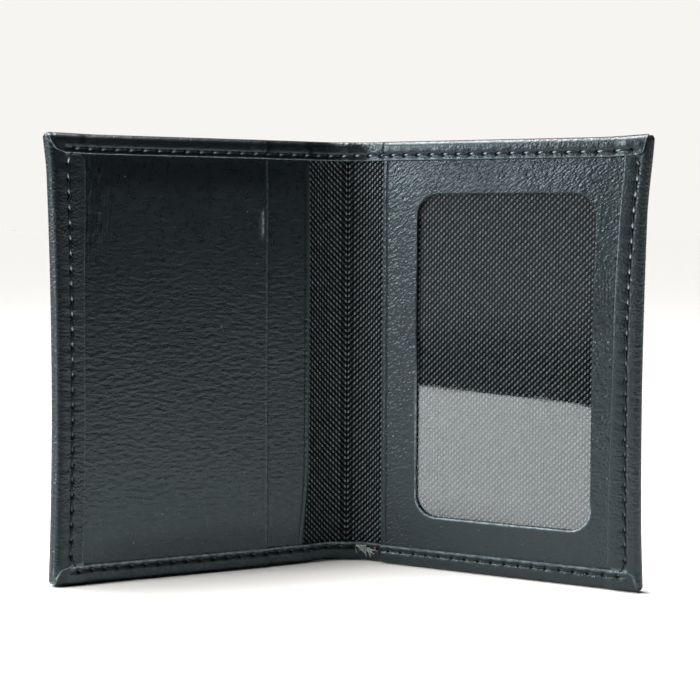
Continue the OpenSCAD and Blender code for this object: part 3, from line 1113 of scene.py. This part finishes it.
for side_ in (-1, 1):
    cover_half(side_, COVER_LEATHER)
    lining_half(side_, CLOTH)
    thread_half(side_, True, THREAD)
    thread_half(side_, False, THREAD)
card_pocket(
    "rear_pocket_leather", "rear_card_pocket", MOUTH["rear"], base=0.0, lift=0.3, seed=1.0,
    lean=rear_lean, material=POCKET_LEATHER,
)
card_pocket(
    "front_pocket_leather", "front_card_pocket", MOUTH["front"], base=POCKET_T, lift=0.55, seed=3.0,
    lean=front_lean, material=POCKET_LEATHER,
)
id_film(clear_film())
id_frame(FRAME_LEATHER)
tuft(frayed_fibre())
BOARD = cardboard()
board_sheet(-1, BOARD)
board_sheet(1, BOARD)

# ---- floor, light and camera ----

BACKDROP = (0.930, 0.913, 0.888)        # the pale studio behind and under the wallet
FLOOR_FRONT = [(-1.5, -0.140), (1.5, -0.457)]   # the table's near edge, metres
FLOOR_FAR = 30                          # how far the table runs to the sides and back, metres


def floor():
    mesh = bpy.data.meshes.new("floor")
    left_y, right_y = FLOOR_FRONT[0][1], FLOOR_FRONT[1][1]
    ring = [*FLOOR_FRONT, (FLOOR_FAR, right_y), (FLOOR_FAR, FLOOR_FAR)]
    ring += [(-FLOOR_FAR, FLOOR_FAR), (-FLOOR_FAR, left_y)]
    mesh.from_pydata([(x, y, -0.0001) for x, y in ring], [], [list(range(len(ring)))])
    mat = bpy.data.materials.new("floor")
    mat.use_nodes = True
    shader = mat.node_tree.nodes["Principled BSDF"]
    shader.inputs["Base Color"].default_value = (*BACKDROP, 1)
    shader.inputs["Roughness"].default_value = 0.95
    shader.inputs["Specular IOR Level"].default_value = 0.1
    mesh.materials.append(mat)
    obj = bpy.data.objects.new("floor", mesh)
    bpy.context.scene.collection.objects.link(obj)


def toward(tree, direction, axis):
    """How far a direction lies along an axis."""
    node = tree.nodes.new("ShaderNodeVectorMath")
    node.operation = "DOT_PRODUCT"
    tree.links.new(direction, node.inputs[0])
    node.inputs[1].default_value = axis
    return node.outputs["Value"]


def fade(tree, value, low, high, to_low, to_high):
    node = tree.nodes.new("ShaderNodeMapRange")
    node.interpolation_type = "SMOOTHSTEP"
    for socket, number in zip(node.inputs[1:5], (low, high, to_low, to_high)):
        socket.default_value = number
    tree.links.new(value, node.inputs[0])
    return node.outputs[0]


def pale_wall(tree, direction):
    """A dim wall beyond the table's near edge, to the left."""
    split = tree.nodes.new("ShaderNodeSeparateXYZ")
    tree.links.new(direction, split.inputs[0])
    near = fade(tree, toward(tree, direction, (-0.75, -0.66, 0)), 0.80, 0.97, 0, 0.16)
    above_table = fade(tree, split.outputs[2], -0.085, -0.04, 0, 1)
    product = tree.nodes.new("ShaderNodeMath")
    product.operation = "MULTIPLY"
    tree.links.new(near, product.inputs[0])
    tree.links.new(above_table, product.inputs[1])
    return product.outputs[0]


def studio():
    """Light from a wide soft source overhead and to the left; the horizon all round stays dark."""
    world = bpy.data.worlds.new("studio")
    bpy.context.scene.world = world
    world.use_nodes = True
    tree = world.node_tree
    direction = tree.nodes.new("ShaderNodeTexCoord").outputs["Generated"]
    overhead = fade(tree, toward(tree, direction, (-0.45, 0.12, 0.885)), 0.80, 0.93, 0.004, 4.6)
    both = tree.nodes.new("ShaderNodeMath")
    tree.links.new(overhead, both.inputs[0])
    tree.links.new(pale_wall(tree, direction), both.inputs[1])
    path = tree.nodes.new("ShaderNodeLightPath")
    pick = tree.nodes.new("ShaderNodeMix")
    pick.data_type = "RGBA"
    tree.links.new(path.outputs["Is Camera Ray"], pick.inputs[0])
    tree.links.new(both.outputs[0], pick.inputs[6])
    pick.inputs[7].default_value = (*BACKDROP, 1)
    tree.links.new(pick.outputs[2], tree.nodes["Background"].inputs["Color"])


def lamp(name, at, aim, size, power):
    """A round lamp: metres and watts."""
    light = bpy.data.lights.new(name, "AREA")
    light.shape, light.size, light.energy = "DISK", size, power
    obj = bpy.data.objects.new(name, light)
    bpy.context.scene.collection.objects.link(obj)
    obj.location = at
    obj.rotation_euler = (Vector(aim) - Vector(at)).to_track_quat("-Z", "Y").to_euler()


def view():
    """A camera fitted to the wallet's edges in the photo."""
    data = bpy.data.cameras.new("camera")
    data.lens, data.sensor_width = 81.9, 36
    data.clip_start, data.clip_end = 0.01, 60
    obj = bpy.data.objects.new("camera", data)
    bpy.context.scene.collection.objects.link(obj)
    obj.location = (7.1 * MM, (FOLD_Y - 386.7) * MM, 81.2 * MM)
    obj.rotation_euler = (math.pi / 2 - 0.076, -0.006, 0.017)
    bpy.context.scene.camera = obj


floor()
studio()
lamp("window", (-0.81, -0.36, 0.42), (0.02, 0, 0.07), 0.22, 8)
lamp("above", (-0.15, 0.13, 0.66), (0.02, 0, 0.1), 0.28, 5)
view()
bpy.context.scene.view_settings.view_transform = "Standard"
